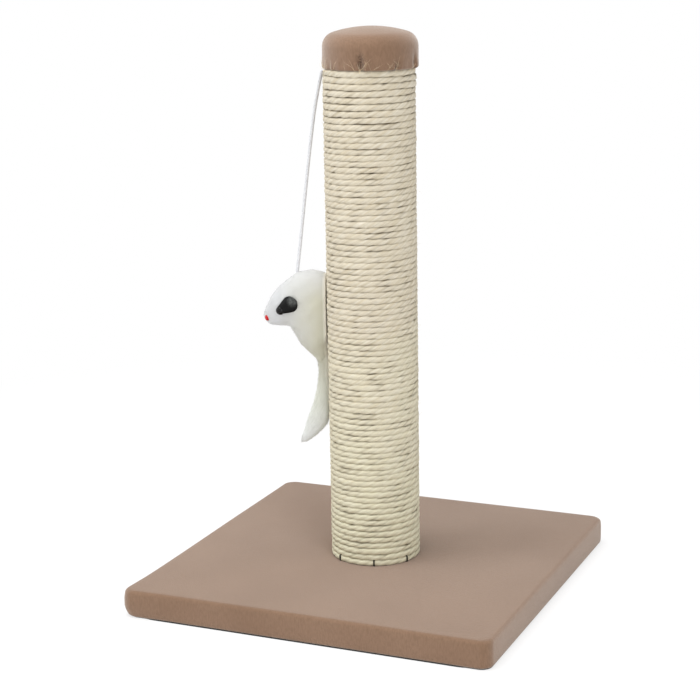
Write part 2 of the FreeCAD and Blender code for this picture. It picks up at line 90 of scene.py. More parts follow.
class Wire:  # a node's output, which can be used in sums
    def __init__(self, tree, socket):
        self.tree, self.socket = tree, socket

    def math(self, operation, *others):
        made = self.tree.nodes.new("ShaderNodeMath")
        made.operation = operation
        for slot, value in zip(made.inputs, (self, *others)):
            join(self.tree, slot, value)
        return Wire(self.tree, made.outputs[0])

    def __add__(self, other):
        return self.math("ADD", other)

    def __mul__(self, other):
        return self.math("MULTIPLY", other)

    def __pow__(self, other):
        return self.math("POWER", other)


def join(tree, slot, value):
    if isinstance(value, Wire):
        tree.links.new(value.socket, slot)
    else:
        slot.default_value = value


class Finish:  # one material and the nodes behind it
    def __init__(self, name, **fixed):
        self.material = bpy.data.materials.new(name)
        self.material.use_nodes = True
        self.tree = self.material.node_tree
        self.shader = self.tree.nodes["Principled BSDF"]
        for socket, value in fixed.items():
            self.feed(socket.replace("_", " "), value)

    def feed(self, socket, value):
        join(self.tree, self.shader.inputs[socket], value)

    def node(self, kind, settings=None, values=None, output=0):
        made = self.tree.nodes.new(kind)
        for name, value in (settings or {}).items():
            setattr(made, name, value)
        for slot, value in (values or {}).items():
            join(self.tree, made.inputs[slot], value)
        return Wire(self.tree, made.outputs[output])

    def place(self):  # the point in the piece's own space, in metres
        return self.node("ShaderNodeTexCoord", output=3)

    def axes(self, vector):
        return [self.node("ShaderNodeSeparateXYZ", values={0: vector}, output=axis) for axis in range(3)]

    def stretched(self, vector, scale):
        return self.node("ShaderNodeVectorMath", {"operation": "MULTIPLY"}, {0: vector, 1: scale})

    def noise(self, vector, scale, detail=2.0, roughness=0.5):
        values = {"Vector": vector, "Scale": scale, "Detail": detail, "Roughness": roughness}
        return self.node("ShaderNodeTexNoise", values=values)

    def spread(self, value, low, high):  # 0 below low, 1 above high
        return self.node("ShaderNodeMapRange", values={0: value, 1: low, 2: high})

    def mix(self, factor, first, second):
        return self.node("ShaderNodeMix", {"data_type": "RGBA"}, {0: factor, 6: first, 7: second}, 2)

    def bump(self, height, depth, strength=1.0):
        values = {"Strength": strength, "Distance": depth, "Height": height}
        self.feed("Normal", self.node("ShaderNodeBump", values=values))


def makePiece(name, points, faces, body, finish, slot=None):
    mesh = bpy.data.meshes.new(name)
    mesh.from_pydata(np.asarray(points, float).tolist(), [], [tuple(face) for face in faces])
    mesh.validate()
    mesh.polygons.foreach_set("use_smooth", [True] * len(mesh.polygons))
    mesh.materials.append(finish.material)
    piece = addObject(name, mesh)
    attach(piece, body)
    return piece


def joined(name, forms, body, finish, slot):  # one piece of several closed forms
    points, faces = [], []
    for formPoints, formFaces in forms:
        faces += [tuple(corner + len(points) for corner in face) for face in formFaces]
        points += formPoints.tolist()
    return makePiece(name, points, faces, body, finish, slot)


def pointValues(piece, name, values):  # a number for each point, which a finish can read
    values = np.asarray(values, np.float32)
    piece.data.attributes.new(name, "FLOAT", "POINT").data.foreach_set("value", values)


def tubeFaces(rings, around):  # quads between rings of points that follow one another
    ring, step = np.meshgrid(np.arange(rings - 1), np.arange(around), indexing="ij")
    here, there = ring * around, (step + 1) % around
    quads = [here + step, here + there, here + around + there, here + around + step]
    return np.stack(quads, -1).reshape(-1, 4)


def closedTube(rings):  # points and faces of a tube whose two ends are closed by a fan
    count, around = rings.shape[:2]
    points = np.concatenate([rings.reshape(-1, 3), rings[0].mean(0)[None], rings[-1].mean(0)[None]])
    faces = tubeFaces(count, around).tolist()
    foot, head, last = count * around, count * around + 1, (count - 1) * around
    for step in range(around):
        after = (step + 1) % around
        faces.append((foot, after, step))
        faces.append((head, last + step, last + after))
    return points, faces


def openTube(rings, crown):  # the same for a cover that is open at its foot and closed at its crown
    count, around = rings.shape[:2]
    points = np.concatenate([rings.reshape(-1, 3), [crown]])
    faces = tubeFaces(count, around).tolist()
    last = (count - 1) * around
    faces += [(last + step, last + (step + 1) % around, len(points) - 1) for step in range(around)]
    return points, faces


def wholeTurn(count):  # angles that share out one turn
    return np.arange(count) / count * 2 * math.pi


def bell(off, width):  # 1 in the middle, fading to 0 on both sides
    return np.exp(-(off / width) ** 2)


def squarer(out, rise, power):  # what pushes a circle's points out towards a square
    return (np.abs(out) ** power + np.abs(rise) ** power) ** (-1 / power)


def smooth(value):
    value = np.clip(value, 0, 1)
    return value * value * (3 - 2 * value)


def wander(count, every, size):  # a slow random drift along a run of points
    knots = chance.normal(0, size, count // every + 4)
    place = np.arange(count) / every
    low = place.astype(int)
    return knots[low] + (knots[low + 1] - knots[low]) * smooth(place - low)


def thicken(piece, thick):
    added = piece.modifiers.new("thickness", "SOLIDIFY")
    added.thickness, added.offset = thick, -1


def hairs(name, roots, bends, tips, radius, body, finish, slot):
    # one three-sided tapering hair for each root, with a bend halfway
    along = tips - roots
    side = np.cross(along, chance.normal(size=along.shape))
    side /= np.linalg.norm(side, axis=1)[:, None]
    other = np.cross(along, side)
    other /= np.linalg.norm(other, axis=1)[:, None]
    corners = [(math.cos(turn), math.sin(turn)) for turn in wholeTurn(3)]
    rows = [roots + radius * (side * x + other * y) for x, y in corners]
    rows += [bends + radius * 0.7 * (side * x + other * y) for x, y in corners]  # thinner at the bend
    points = np.stack([*rows, tips], 1).reshape(-1, 3)
    pattern = [(0, 1, 4, 3), (1, 2, 5, 4), (2, 0, 3, 5), (3, 4, 6), (4, 5, 6), (5, 3, 6), (0, 2, 1)]
    faces = [tuple(corner + 7 * hair for corner in face) for hair in range(len(roots)) for face in pattern]
    made = makePiece(name, points, faces, body, finish, slot)
    made.data.polygons.foreach_set("use_smooth", [False] * len(faces))


def roundPost(angle):  # the directions away from the post and round it, at some angles
    x, y, level = np.cos(angle), np.sin(angle), np.zeros(len(angle))
    return np.stack([x, y, level], 1), np.stack([-y, x, level], 1)


print("stage: materials")
# the crease colour is painted shade, laid into the cap's creases
velourLook = {"shade": paint(122, 95, 75), "light": paint(131, 104, 84), "dark": paint(103, 79, 60),
              "creaseShade": paint(52, 36, 28)}


def makeVelour():
    velour = Finish("taupeVelour", Roughness=0.95, Sheen_Weight=0.62, Sheen_Roughness=0.5,
                    Sheen_Tint=paint(240, 234, 228), Specular_IOR_Level=0.1)
    place = velour.place()
    clouds = velour.noise(place, 14, 2)
    streaks = velour.noise(velour.stretched(place, (1.0, 1.0, 0.28)), 900, 2, 0.6)
    tone = velour.mix(velour.spread(clouds, 0.3, 0.7), velourLook["shade"], velourLook["light"])
    grain = velour.spread(streaks, 0.62, 0.3) * 0.45
    # painted shade in the cap's creases, broken up by noise
    creaseShade = velour.node("ShaderNodeAttribute", {"attribute_name": "creaseShade"}, output=2)
    raggedCreaseShade = creaseShade * velour.spread(velour.noise(place, 480, 3), 0.36, 0.54)
    tone = velour.mix(grain, tone, velourLook["dark"])
    velour.feed("Base Color", velour.mix(raggedCreaseShade, tone, velourLook["creaseShade"]))
    pile = streaks + velour.noise(place, 2600, 1) * 0.5
    velour.bump(pile, 0.4 * mm, 0.5)
    return velour


# the gap colour is painted shade for the gaps between turns and the grooves between strands
sisalLook = {"cream": paint(209, 202, 186), "straw": paint(195, 184, 161), "thread": paint(176, 163, 134),
             "green": paint(222, 221, 192), "gap": paint(98, 84, 60), "greenBelow": 0.20}


def makeSisal():
    sisal = Finish("sisalRope", Roughness=0.85, Specular_IOR_Level=0.25)
    run, girth, _ = sisal.axes(sisal.node("ShaderNodeUVMap", {"uv_map": "ropeRun"}))
    fibreLine = sisal.node("ShaderNodeCombineXYZ", values={0: run * 70, 1: girth * 34})
    fibres = sisal.noise(fibreLine, 1.0, 4, 0.65)
    strandLine = sisal.node("ShaderNodeCombineXYZ", values={0: run * 40, 1: girth * 3})
    strands = sisal.noise(strandLine, 1.0, 2)
    place = sisal.place()
    height = sisal.axes(place)[2]
    tone = sisal.mix(sisal.spread(strands, 0.35, 0.68), sisalLook["cream"], sisalLook["straw"])
    patches = sisal.noise(place, 22, 2)
    low = sisal.spread(height + patches * 0.16, sisalLook["greenBelow"] + 0.12, 0.06)
    tone = sisal.mix(low * 0.75, tone, sisalLook["green"])
    tone = sisal.mix(sisal.spread(fibres, 0.52, 0.34) * 0.5, tone, sisalLook["thread"])
    # painted shade in the gaps and grooves
    grooveShade = sisal.node("ShaderNodeAttribute", {"attribute_name": "grooveShade"}, output=2)
    sisal.feed("Base Color", sisal.mix(grooveShade, tone, sisalLook["gap"]))
    sisal.bump(fibres, 0.4 * mm, 0.5)
    return sisal


def makePlain(name, first, second, scale, depth, stretch=(1, 1, 1), **fixed):  # two tones of one grain
    finish = Finish(name, **fixed)
    grain = finish.noise(finish.stretched(finish.place(), stretch), scale, 3, 0.6)
    finish.feed("Base Color", finish.mix(finish.spread(grain, 0.35, 0.65), first, second))
    finish.bump(grain, depth * mm, 0.6)
    return finish


# beige is painted shade on the fur beside the rope; edge is painted light on the strip pressed against it
furLook = {"white": paint(193, 194, 195), "beigeShade": paint(187, 185, 168), "tail": paint(207, 209, 199),
           "tailEnd": paint(216, 218, 216), "edge": paint(232, 229, 219),
           "beigeShadeFrom": 0.081, "beigeShadeFull": 0.049, "litEdgeFrom": 0.0405, "litEdgeFull": 0.038, "tailBelow": 0.19}


def makeFur():  # white, with painted beige shade beside the rope and painted light on the strip against it
    fur = Finish("whiteFur", Roughness=0.9, Sheen_Weight=0.25, Sheen_Roughness=0.5, Specular_IOR_Level=0.1)
    place = fur.place()
    x, y, z = fur.axes(place)
    out = (x * x + y * y) ** 0.5
    # painted shade near the rope, below the back
    ropeSideShade = fur.spread(out + fur.noise(place, 60, 1) * 0.01, furLook["beigeShadeFrom"], furLook["beigeShadeFull"])
    tone = fur.mix(ropeSideShade * fur.spread(z, 0.262, 0.235), furLook["white"], furLook["beigeShade"])
    # painted light on the fur right against the rope
    tone = fur.mix(fur.spread(out, furLook["litEdgeFrom"], furLook["litEdgeFull"]), tone, furLook["edge"])
    tail = fur.mix(fur.spread(z, 0.15, 0.12), furLook["tail"], furLook["tailEnd"])
    low = furLook["tailBelow"]
    fur.feed("Base Color", fur.mix(fur.spread(z, low, low - 0.04), tone, tail))
    fur.bump(fur.noise(place, 700, 2), 0.1 * mm, 0.3)
    return fur


velour = makeVelour()
sisal = makeSisal()
fibre = makePlain("looseFibre", paint(232, 218, 188), paint(206, 184, 146), 300, 0.05, Roughness=0.8)
fur = makeFur()
cordFinish = makePlain("whiteCord", paint(214, 215, 218), paint(196, 197, 201), 900, 0.1,
                       Roughness=0.8, Specular_IOR_Level=0.2)
leather = makePlain("blackLeather", paint(10, 10, 10), paint(18, 18, 17), 900, 0.15,
                    Roughness=0.4, Specular_IOR_Level=0.12)
earSheen = leather.node("ShaderNodeAttribute", {"attribute_name": "earSheen"}, output=2)  # the ear's painted sheen, paler in its middle
sheenStreaks = leather.spread(leather.noise(leather.place(), 700, 3), 0.4, 0.6) * 0.6 + 0.5
leather.feed("Base Color", leather.mix(earSheen * sheenStreaks, paint(12, 12, 12), paint(92, 94, 92)))
blackGloss = makePlain("blackBead", paint(6, 6, 6), paint(12, 11, 11), 500, 0.01,
                       Roughness=0.2, Specular_IOR_Level=0.15, Coat_Weight=0.15, Coat_Roughness=0.08)
redGloss = makePlain("redBead", paint(188, 14, 16), paint(160, 8, 12), 600, 0.01,
                     Roughness=0.2, Specular_IOR_Level=0.2, Coat_Weight=0.25, Coat_Roughness=0.06)
darkSteel = makePlain("darkSteel", paint(70, 66, 60), paint(40, 38, 34), 1200, 0.03,
                      Roughness=0.45, Metallic=0.9)
foam = makePlain("paddingFoam", paint(240, 236, 224), paint(222, 216, 200), 1500, 0.4, Roughness=0.95)

print("stage: finishes of the carried-over parts")
particleBoard = {"first": paint(206, 180, 140), "second": paint(166, 132, 92), "scale": 330, "depth": 0.3,
                 "stretch": (1, 1, 3), "Roughness": 0.85}
nonwoven = {"first": paint(34, 34, 34), "second": paint(52, 52, 52), "scale": 1300, "depth": 0.25,
            "Roughness": 0.95}
plugWood = {"first": paint(214, 182, 134), "second": paint(186, 148, 100), "scale": 60, "depth": 0.1,
            "stretch": (1, 8, 8), "Roughness": 0.7}
cardboard = {"first": paint(186, 158, 120), "second": paint(160, 130, 94), "scale": 120, "depth": 0.1,
             "stretch": (3, 3, 12), "Roughness": 0.85}
zinc = {"first": paint(196, 198, 200), "second": paint(168, 170, 172), "scale": 900, "depth": 0.02,
        "Roughness": 0.35, "Metallic": 1.0}
yellowZinc = {**zinc, "first": paint(200, 194, 160), "second": paint(178, 170, 134)}
carriedLooks = [  # node, name of its material, look
    ("base_board", "particleBoard", particleBoard),
    ("cap_disc", "particleBoardDisc", particleBoard),
    ("backing_sheet", "blackNonwoven", nonwoven),
    ("bottom_plug", "plugWood", plugWood),
    ("top_plug", "plugWoodTop", plugWood),
    ("post_tube", "woundCardboard", cardboard),
    ("base_bolt", "zincBolt", zinc),
    ("bolt_washer", "zincWasher", zinc),
    ("tee_nut", "zincNut", zinc),
    ("cap_screw", "zincScrew", yellowZinc),
]
carriedOver = {}
for node, name, look in carriedLooks:
    carriedOver[node] = makePlain(name, **look)
    mesh = nodes[node].data
    mesh.materials.clear()
    mesh.materials.append(carriedOver[node].material)
    mesh.polygons.foreach_set("material_index", [0] * len(mesh.polygons))

print("stage: toy cord and its knot")
toyLook = {"angle": 187,  # where the cord leaves the post, seen from above
           "route": [(38.2, 418.16), (40.4, 409.4), (43.6, 395.4), (46.4, 379.8),
                     (50.3, 352.3), (56.2, 306.8), (60.1, 275.3), (62.9, 255.0)],
           "cordRadius": 1.3, "cordLength": 165, "plaits": 4, "plaitRise": 0.09, "plaitLength": 5.2,
           "plaitLevel": 0.6, "knotReach": 2.1, "knotTurns": 2.5, "knotFrom": 20.4, "knotTo": 26.6,
           "knotSteps": 180, "knotThinner": 0.05, "stubFrom": 17.0, "stubTo": 36.6}
toyAngle = math.radians(toyLook["angle"])
outward = Vector((math.cos(toyAngle), math.sin(toyAngle), 0))
upward = Vector((0, 0, 1))
sideways = upward.cross(outward)


def toyPoint(out, height, side=0.0):  # a point in the upright plane of the toy, in metres
    return (outward * out + upward * height + sideways * side) * mm


def plaitedTube(centres, radius, around):
    # rings round a line of points, with the diamond relief of a round braid
    ahead = np.gradient(centres, axis=0)
    ahead /= np.linalg.norm(ahead, axis=1)[:, None]
    along = np.concatenate([[0], np.cumsum(np.linalg.norm(np.diff(centres, axis=0), axis=1))])
    side = np.array(sideways)
    turns = wholeTurn(around)
    plaits = toyLook["plaits"] * turns
    rings = []
    for centre, forward, distance in zip(centres, ahead, along):
        side = side - forward * (side @ forward)
        side /= np.linalg.norm(side)
        other = np.cross(forward, side)
        twist = distance / (toyLook["plaitLength"] * mm) * 2 * math.pi
        relief = np.maximum(np.cos(plaits + twist), np.cos(plaits - twist)) - toyLook["plaitLevel"]
        reach = radius * mm * (1 + toyLook["plaitRise"] * relief)
        rings.append(centre + np.outer(reach * np.cos(turns), side) + np.outer(reach * np.sin(turns), other))
    return np.array(rings)


routeCurve = bpy.data.curves.new("cordRoute", "CURVE")
routeCurve.dimensions, routeCurve.resolution_u = "3D", 48
spline = routeCurve.splines.new("NURBS")
spline.points.add(len(toyLook["route"]) - 1)
for point, place in zip(spline.points, toyLook["route"]):
    point.co = (*toyPoint(*place), 1)
spline.order_u = 3
spline.use_endpoint_u = True
routeHolder = bpy.data.objects.new("cordRoute", routeCurve)
routeMesh = bpy.data.meshes.new_from_object(routeHolder)
routeLine = np.array([vertex.co for vertex in routeMesh.vertices])
bpy.data.meshes.remove(routeMesh)
bpy.data.objects.remove(routeHolder)
bpy.data.curves.remove(routeCurve)


def evenly(line, step):
    along = np.concatenate([[0], np.cumsum(np.linalg.norm(np.diff(line, axis=0), axis=1))])
    at = np.linspace(0, along[-1], int(along[-1] / step) + 1)
    return np.stack([np.interp(at, along, line[:, axis]) for axis in range(3)], 1)


def makeBraid(name, line, radius, around, body):
    return makePiece(name, *closedTube(plaitedTube(line, radius, around)), body, cordFinish, "white_cord")


cordLine = evenly(routeLine, 0.4 * mm)
toyCord = makeBraid("toyCord", cordLine, toyLook["cordRadius"], 20, "cord")
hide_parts("toy_cord")

knotLine = []  # a barrel knot: the tail, turns round the line, and the stub that runs out to the cord
for step in range(toyLook["knotSteps"] + 1):
    out = toyLook["stubFrom"] + (toyLook["stubTo"] - toyLook["stubFrom"]) * (step / toyLook["knotSteps"])
    wound = np.clip((out - toyLook["knotFrom"]) / (toyLook["knotTo"] - toyLook["knotFrom"]), 0, 1)
    reach = toyLook["knotReach"] * math.sin(math.pi * wound) ** 0.5 if 0 < wound < 1 else 0
    turned = 2 * math.pi * toyLook["knotTurns"] * wound
    height = toyLook["route"][0][1] + reach * math.sin(turned)
    knotLine.append(toyPoint(out, height, reach * math.cos(turned)))
knotLine = evenly(np.array(knotLine), 0.35 * mm)
cordKnot = makeBraid("cordKnot", knotLine, toyLook["cordRadius"] - toyLook["knotThinner"], 16, "cord_end")
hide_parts("cord_knot")
toyPoint(*toyLook["route"][0])

print("stage: rope")
tubeLow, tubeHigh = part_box("post_tube")
ropeLook = {"turns": 84, "lengths": 4, "stepsInTurn": 105, "topEnd": 178,  # degrees, seen from above
            "thick": 4.9, "strands": 3, "lay": 25, "squareness": 4.5, "offTube": 0.05, "offEnds": 0.1,
            # sizes at one strand's corners, from the groove over its crest
            "grooveShare": 0.87, "strand": (0.975, 1.02, 0.975),
            "levelTurns": 10, "jog": 0.07, "jogEarly": 0.045,
            # slow changes along the rope: steps between two random values, how far they go
            "drifts": {"height": (9, 0.13), "standing": (11, 0.1), "size": (7, 0.03),
                       "twist": (30, 0.35), "opening": (3, 0.55)},
            "bulges": [(1.46, 0.9), (2.47, 0.6)], "bulgeLength": 0.05,  # turns from the top, how far out
            # slots (1.4) and flat patches (-1): turns from the top, half length in turns, change
            "marks": [(81.55, 0.018, 1.4), (3.62, 0.04, -1), (4.62, 0.04, -1)]}
ropePitch = (tubeHigh.z - tubeLow.z) / mm / (ropeLook["turns"] + 1)
ropeCentre = tubeHigh.x / mm + ropeLook["thick"] / 2 + 0.1


def turnsDown(turns):
    # the wrap lies level at both ends and steps down behind the toy; between them it is a plain helix
    whole, part = np.floor(turns), turns - np.floor(turns)
    early = part - 1 + ropeLook["jog"] + ropeLook["jogEarly"]  # the upper turns step down before the cord
    upper = whole + smooth(early / ropeLook["jog"])
    lower = whole + smooth(part / ropeLook["jog"])
    nearTop = 1 - smooth(turns / ropeLook["levelTurns"])
    nearFoot = smooth((turns - ropeLook["turns"] + ropeLook["levelTurns"]) / ropeLook["levelTurns"])
    return turns + nearTop * (upper - turns) + nearFoot * (lower - turns)


def ropeForm():  # rings along the whole wrap, and the painted shade of the gaps and grooves at their points
    count = ropeLook["turns"] * ropeLook["stepsInTurn"] + 1
    turns = np.arange(count) / ropeLook["stepsInTurn"]
    drift = {name: wander(count, every, size) for name, (every, size) in ropeLook["drifts"].items()}
    angle = np.radians(ropeLook["topEnd"]) - 2 * math.pi * turns
    run = turns * 2 * math.pi * ropeCentre
    height = tubeHigh.z / mm - ropePitch * (0.5 + turnsDown(turns)) + drift["height"]
    standing = ropeCentre + drift["standing"]
    for place, far in ropeLook["bulges"]:
        standing = standing + far * bell(turns - place, ropeLook["bulgeLength"])
    twist = -2 * math.pi * run / ropeLook["lay"] + drift["twist"]
    profile = np.array([ropeLook["grooveShare"], *ropeLook["strand"]])
    around = ropeLook["strands"] * len(profile)
    corner = np.arange(around)
    phase = twist[:, None] + corner * 2 * math.pi / around
    reach = profile[corner % len(profile)] * (1 + drift["size"])[:, None]
    out, rise = np.cos(phase), np.sin(phase)
    square = squarer(out, rise, ropeLook["squareness"])
    radial = standing[:, None] + ropeLook["thick"] / 2 * reach * out * square
    opening = smooth(0.12 + drift["opening"])  # how far the gap to the next turn opens here
    for place, long, change in ropeLook["marks"]:
        opening = np.clip(opening + change * bell(turns - place, long), 0, 1.6)
    opening = opening[:, None]
    pressed = 1.1 - 0.1 * opening - 0.4 * np.maximum(opening - 1, 0)  # turns meet where no gap opens
    vertical = height[:, None] + ropePitch / 2 * pressed * reach * rise * square
    radial = np.maximum(radial, tubeHigh.x / mm + ropeLook["offTube"])
    vertical = np.clip(vertical, tubeLow.z / mm + ropeLook["offEnds"], tubeHigh.z / mm - ropeLook["offEnds"])
    rings = np.stack([radial * np.cos(angle)[:, None], radial * np.sin(angle)[:, None], vertical], -1) * mm
    # painted shade: in the gap under a turn, darker where it opens, and along the grooves between strands
    gap = smooth((np.abs(rise) - 0.62) / 0.2) * opening * 0.58
    grooveLineShade = (1 - smooth((reach - ropeLook["grooveShare"]) / 0.08)) * (0.1 + 0.2 * opening)
    return rings, np.clip(gap + grooveLineShade, 0, 0.95)


def mapRope(mesh, around, first, rows):  # the fibres' map runs on along the rope, the bake's holds one length
    perTurn = ropeLook["stepsInTurn"]
    ring, step = np.divmod(np.arange(rows * perTurn * around), around)
    ringOf = np.stack([ring, ring, ring + 1, ring + 1], 1)
    stepOf = np.stack([step, step + 1, step + 1, step], 1) / around
    turnOf = (ring // perTurn)[:, None]
    runMap = ((first + ringOf) / perTurn * 2 * math.pi * ropeCentre * mm, stepOf * ropeLook["strands"])
    bakeMap = ((ringOf - turnOf * perTurn) / perTurn * 0.98 + 0.01, (turnOf + 0.04 + 0.92 * stepOf) / rows)
    for layer, places in (("ropeRun", runMap), ("OFBake", bakeMap)):
        flat = np.stack(places, -1).reshape(-1, 2)
        ends = np.repeat(flat[:1], 2 * around * 3, 0)  # the corners of both end fans
        flat = np.concatenate([flat, ends]).astype(np.float32)
        mesh.uv_layers.new(name=layer).uv.foreach_set("vector", flat.ravel())


def makeRope():
    rings, grooveShade = ropeForm()
    rows = ropeLook["turns"] // ropeLook["lengths"]
    perLength = rows * ropeLook["stepsInTurn"]
    for number in range(ropeLook["lengths"]):
        first = number * perLength
        part = slice(first, first + perLength + 1)
        piece = makePiece(f"ropeWrap{number + 1}", *closedTube(rings[part]), "stand", sisal, "sisal")
        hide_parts(f"sisal_rope_{ropeLook['lengths'] - number}")
        pointValues(piece, "grooveShade", np.append(grooveShade[part].ravel(), (0, 0)))
        mapRope(piece.data, rings.shape[1], first, rows)


makeRope()

print("stage: loose fibres")
fuzzLook = {"count": 700, "length": (3, 8), "radius": 0.06, "lift": 0.35, "rootsAt": 36.1, "offEnds": 6}
photoSide = 293.5  # degrees round the post, the side that the photo shows
rimLook = {"length": (5, 14), "radius": 0.09, "rootsAt": 36.6, "below": 1.5, "bendAt": 1.9, "tipAt": 2.3,
           # groups of fibres: angle from the photo's side, spread, number
           "groups": [(-14, 5, 9), (5, 4, 4), (33, 4, 4), (62, 8, 6), (-50, 14, 4),
                      (120, 60, 12), (-120, 50, 10)]}


def ropeFuzz():
    count, offEnds = fuzzLook["count"], fuzzLook["offEnds"] * mm
    angle = chance.uniform(0, 2 * math.pi, count)
    height = chance.uniform(tubeLow.z + offEnds, tubeHigh.z - offEnds, count)
    radial, around = roundPost(angle)
    up = np.array(upward)
    roots = radial * fuzzLook["rootsAt"] * mm + height[:, None] * up
    length = chance.uniform(*fuzzLook["length"], count)[:, None] * mm
    lean = around * chance.choice([-1, 1], count)[:, None] + up * chance.normal(0, 0.5, (count, 1))
    lift = radial * chance.uniform(0.05, fuzzLook["lift"], (count, 1))
    bends = roots + (lean * 0.5 + lift) * length
    tips = roots + (lean + lift * 1.2 + chance.normal(0, 0.12, (count, 3))) * length
    hairs("ropeFuzz", roots, bends, tips, fuzzLook["radius"] * mm, "stand", fibre, "sisal")


def rimFibres():
    angle = np.concatenate([chance.normal(*group) for group in rimLook["groups"]])
    angle = np.radians(angle + photoSide)
    count = len(angle)
    radial, around = roundPost(angle)
    up = np.array(upward)
    roots = radial * rimLook["rootsAt"] * mm + (tubeHigh.z - rimLook["below"] * mm) * up
    length = chance.uniform(*rimLook["length"], count)[:, None] * mm
    lean = chance.normal(0, 0.7, (count, 1))
    bends = roots + radial * rimLook["bendAt"] * mm + (up * 0.5 + around * lean * 0.4) * length
    tips = roots + radial * rimLook["tipAt"] * mm + (up + around * lean) * length
    hairs("rimFibres", roots, bends, tips, rimLook["radius"] * mm, "stand", fibre, "sisal")


ropeFuzz()
rimFibres()

print("stage: rope staples")
stapleLook = {"angles": [239.5, 290, 336.5, 33, 75, 113, 152, 188], "wire": 0.55, "flatter": 1.2,
              "low": 22.9, "high": 27.4, "leg": 2.2, "reach": 36.7}


def stapleForm(degrees):  # a bridge over the last turn of rope, with a leg at each edge of it
    out = Vector((math.cos(math.radians(degrees)), math.sin(math.radians(degrees)), 0))
    reach, wire = stapleLook["reach"], stapleLook["wire"]
    half = [(reach - stapleLook["leg"], 0), (reach - wire, 0),
            (reach - wire * 0.3, wire * 0.3), (reach, wire)]
    line = [out * far + upward * (stapleLook["low"] + rise) for far, rise in half]
    line += [out * far + upward * (stapleLook["high"] - rise) for far, rise in reversed(half)]
    across = upward.cross(out)
    rings = []
    for index, point in enumerate(line):
        ahead = (line[min(index + 1, len(line) - 1)] - line[max(index - 1, 0)]).normalized()
        other = ahead.cross(across)
        spokes = [across * math.cos(turn) * stapleLook["flatter"] + other * math.sin(turn)
                  for turn in wholeTurn(8)]
        rings.append([(point + spoke * wire) * mm for spoke in spokes])
    return closedTube(np.array(rings))


stapleForms = [stapleForm(degrees) for degrees in stapleLook["angles"]]
joined("ropeStaples", stapleForms, "stand", darkSteel, "zinc_steel")

print("stage: base cover")
coverLow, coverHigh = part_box("base_cover")
baseLook = {"corner": 6.5, "edge": 3.2, "underEdge": 2.2, "hem": 32, "cloth": 1.9, "flat": 412, "area": 0.154,
            "cornerSteps": 10, "sideSteps": 14, "sideBulge": 0.2, "uneven": 0.18,
            "swell": 3.6, "swellReach": 24}  # one corner is padded out more
# a band of the backing's black cloth under the base cover's edge, partly painted shade
sheetShadeLook = {"inset": 0.4, "width": 3, "low": 0.05, "high": 0.9, "corner": 24, "narrower": 1.2}


def squareLoop(half, corner):  # points round a square with round corners
    points = []
    reach, steps = half - corner, baseLook["sideSteps"]
    for quarter in range(4):
        diagonal = (quarter + 0.5) * math.pi / 2
        x, y = math.copysign(reach, math.cos(diagonal)), math.copysign(reach, math.sin(diagonal))
        for step in range(baseLook["cornerSteps"] + 1):
            turned = (quarter + step / baseLook["cornerSteps"]) * math.pi / 2
            points.append((x + corner * math.cos(turned), y + corner * math.sin(turned)))
        x, y = points[-1]
        turned = (quarter + 2) * math.pi / 2
        for step in range(1, steps):
            far = 2 * reach * step / steps
            points.append((x + math.cos(turned) * far, y + math.sin(turned) * far))
    return np.array(points)


def levelLoop(loop, height):
    return np.column_stack([loop, np.full(len(loop), height)])


def makeBaseCover():
    half, foot, top = coverHigh.x / mm, coverLow.z / mm, coverHigh.z / mm
    edge, under = baseLook["edge"], baseLook["underEdge"]
    profile = [(baseLook["hem"], foot), (baseLook["hem"] / 2, foot), (under + 3, foot)]  # inset and height
    profile += [(under - under * math.sin(turn), foot + under - under * math.cos(turn))
                for turn in np.radians(np.arange(0, 91, 18))]
    profile += [(-baseLook["sideBulge"], foot + (top - foot) * share) for share in (0.25, 0.4, 0.55, 0.7)]
    profile += [(edge - edge * math.cos(turn), top - edge + edge * math.sin(turn))
                for turn in np.radians(np.arange(0, 91, 15))]
    profile += [(inset, top) for inset in (6, 10, 18, 30, 48, 70, 95, 120, 146)]
    rings = []
    for inset, height in profile:
        corner = max(baseLook["corner"] - inset, (half - inset) * 0.06 + 0.2)
        rings.append(levelLoop(squareLoop(half - inset, corner), height))
    rings = np.array(rings)
    soft = np.sin(rings[..., 0] / 31 + 1.2) * np.sin(rings[..., 1] / 27 + 0.4)  # the padding isn't quite flat
    rings[..., 2] += baseLook["uneven"] * soft * (rings[..., 2] > top - edge)
    rings[..., 2] = np.minimum(rings[..., 2], top + 0.1)
    away = np.linalg.norm(rings[..., :2] + half, axis=-1)
    up = (rings[..., 2] - foot) / (top - foot)
    swell = baseLook["swell"] * bell(away, baseLook["swellReach"])
    swell *= 0.35 + 0.65 * smooth(up / 0.4) - 0.2 * smooth((up - 0.6) / 0.4)
    rings[..., :2] -= swell[..., None] / math.sqrt(2)
    cover = makePiece("baseCover", *openTube(rings * mm, (0, 0, top * mm)), "stand", velour, "velour")
    thicken(cover, baseLook["cloth"] * mm)
    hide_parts("base_cover")


def makeSheetEdgeShade():  # the dark edge of the sheet under the base, carried out to the cloth's edge and up under it as painted shade, seen as a thin line
    outer = coverHigh.x / mm - sheetShadeLook["inset"]
    inner = outer - sheetShadeLook["width"]
    low, high = sheetShadeLook["low"], sheetShadeLook["high"]
    rings = []
    for half, height in ((inner, low), (outer, low), (outer, high), (inner, high)):
        loop = squareLoop(half, sheetShadeLook["corner"])
        loop[:, 0] *= 1 - sheetShadeLook["narrower"] / outer
        rings.append(levelLoop(loop, height))
    points = np.concatenate(rings) * mm
    faces = tubeFaces(len(rings) + 1, len(rings[0])) % len(points)  # the last ring meets the first
    makePiece("sheetEdgeShade", points, faces, "stand", carriedOver["backing_sheet"], "nonwoven")


makeBaseCover()
makeSheetEdgeShade()

